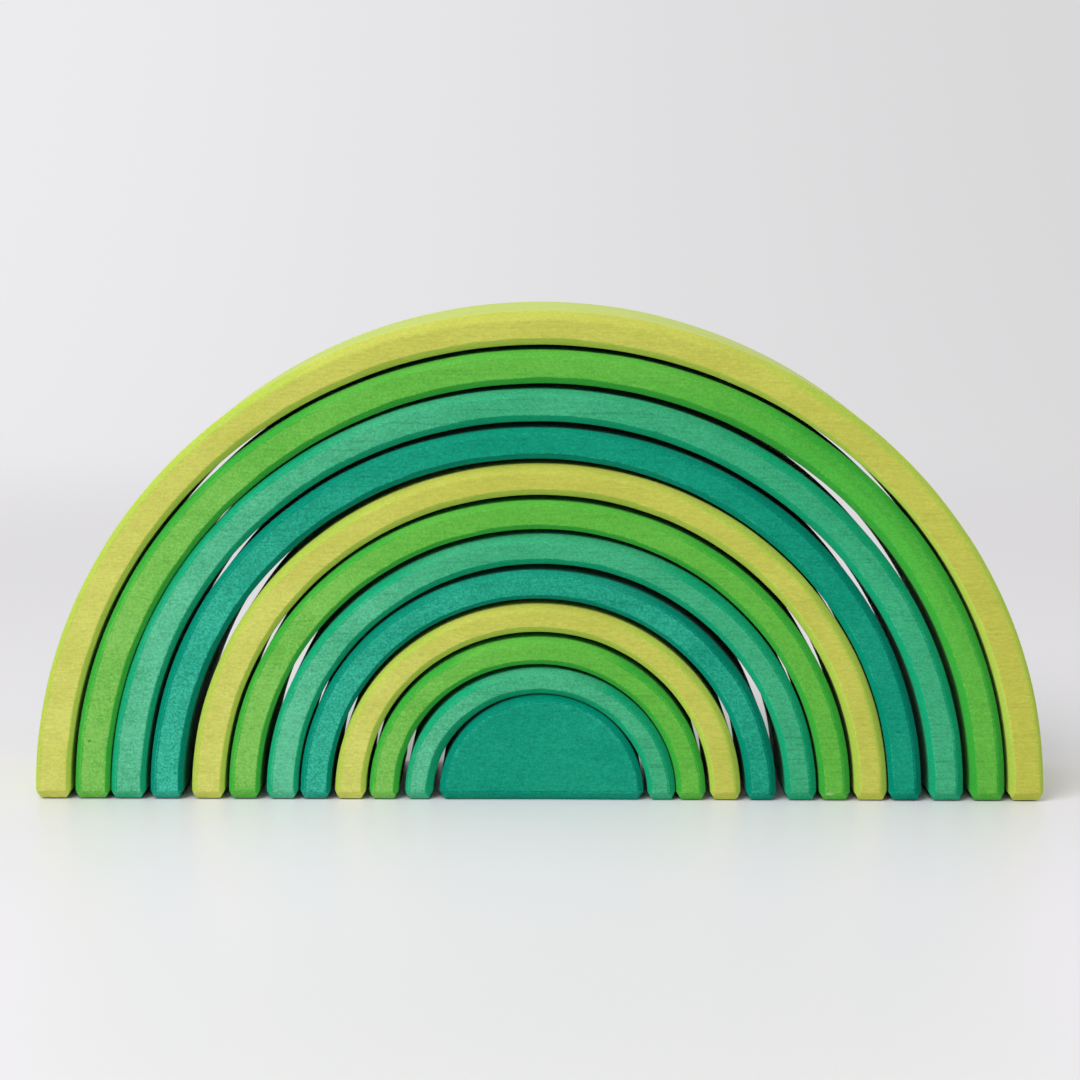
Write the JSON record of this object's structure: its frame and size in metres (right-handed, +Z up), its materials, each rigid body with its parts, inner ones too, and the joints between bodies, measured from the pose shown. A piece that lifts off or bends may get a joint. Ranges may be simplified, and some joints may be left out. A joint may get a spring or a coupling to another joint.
{
  "type": "rainbow stacker",
  "caption": "Nesting rainbow of stained wooden arches with bevelled rims over a solid half-round, for stacking and free building.",
  "frame": {"origin": "middle of the outermost arch's footprint, on the plane that the feet stand on", "axes": "+X along the span, to the right seen from the front; +Y from front to back; +Z up"},
  "size_m": [0.3704, 0.07, 0.1794],
  "materials": {
    "lime_stain": "matte water-based stain, fine grain showing through",
    "green_stain": "matte water-based stain, fine grain showing through",
    "mint_stain": "matte water-based stain, fine grain showing through",
    "teal_stain": "matte water-based stain, fine grain showing through"
  },
  "bodies": {
    "half_round": {"half_round_teal": "teal_stain"},
    "arch_11": {"arch_11_mint": "mint_stain"},
    "arch_10": {"arch_10_green": "green_stain"},
    "arch_09": {"arch_09_lime": "lime_stain"},
    "arch_08": {"arch_08_teal": "teal_stain"},
    "arch_07": {"arch_07_mint": "mint_stain"},
    "arch_06": {"arch_06_green": "green_stain"},
    "arch_05": {"arch_05_lime": "lime_stain"},
    "arch_04": {"arch_04_teal": "teal_stain"},
    "arch_03": {"arch_03_mint": "mint_stain"},
    "arch_02": {"arch_02_green": "green_stain"},
    "arch_01": {"arch_01_lime": "lime_stain"}
  },
  "joints": [
    {"name": "lift_11", "type": "slide", "parent": "half_round", "child": "arch_11", "axis": [0, 0, 1], "range_m": [0, 0.044]},
    {"name": "lift_10", "type": "slide", "parent": "arch_11", "child": "arch_10", "axis": [0, 0, 1], "range_m": [0, 0.055]},
    {"name": "lift_09", "type": "slide", "parent": "arch_10", "child": "arch_09", "axis": [0, 0, 1], "range_m": [0, 0.066]},
    {"name": "lift_08", "type": "slide", "parent": "arch_09", "child": "arch_08", "axis": [0, 0, 1], "range_m": [0, 0.079]},
    {"name": "lift_07", "type": "slide", "parent": "arch_08", "child": "arch_07", "axis": [0, 0, 1], "range_m": [0, 0.091]},
    {"name": "lift_06", "type": "slide", "parent": "arch_07", "child": "arch_06", "axis": [0, 0, 1], "range_m": [0, 0.104]},
    {"name": "lift_05", "type": "slide", "parent": "arch_06", "child": "arch_05", "axis": [0, 0, 1], "range_m": [0, 0.116]},
    {"name": "lift_04", "type": "slide", "parent": "arch_05", "child": "arch_04", "axis": [0, 0, 1], "range_m": [0, 0.129]},
    {"name": "lift_03", "type": "slide", "parent": "arch_04", "child": "arch_03", "axis": [0, 0, 1], "range_m": [0, 0.143]},
    {"name": "lift_02", "type": "slide", "parent": "arch_03", "child": "arch_02", "axis": [0, 0, 1], "range_m": [0, 0.157]},
    {"name": "lift_01", "type": "slide", "parent": "arch_02", "child": "arch_01", "axis": [0, 0, 1], "range_m": [0, 0.171]}
  ]
}
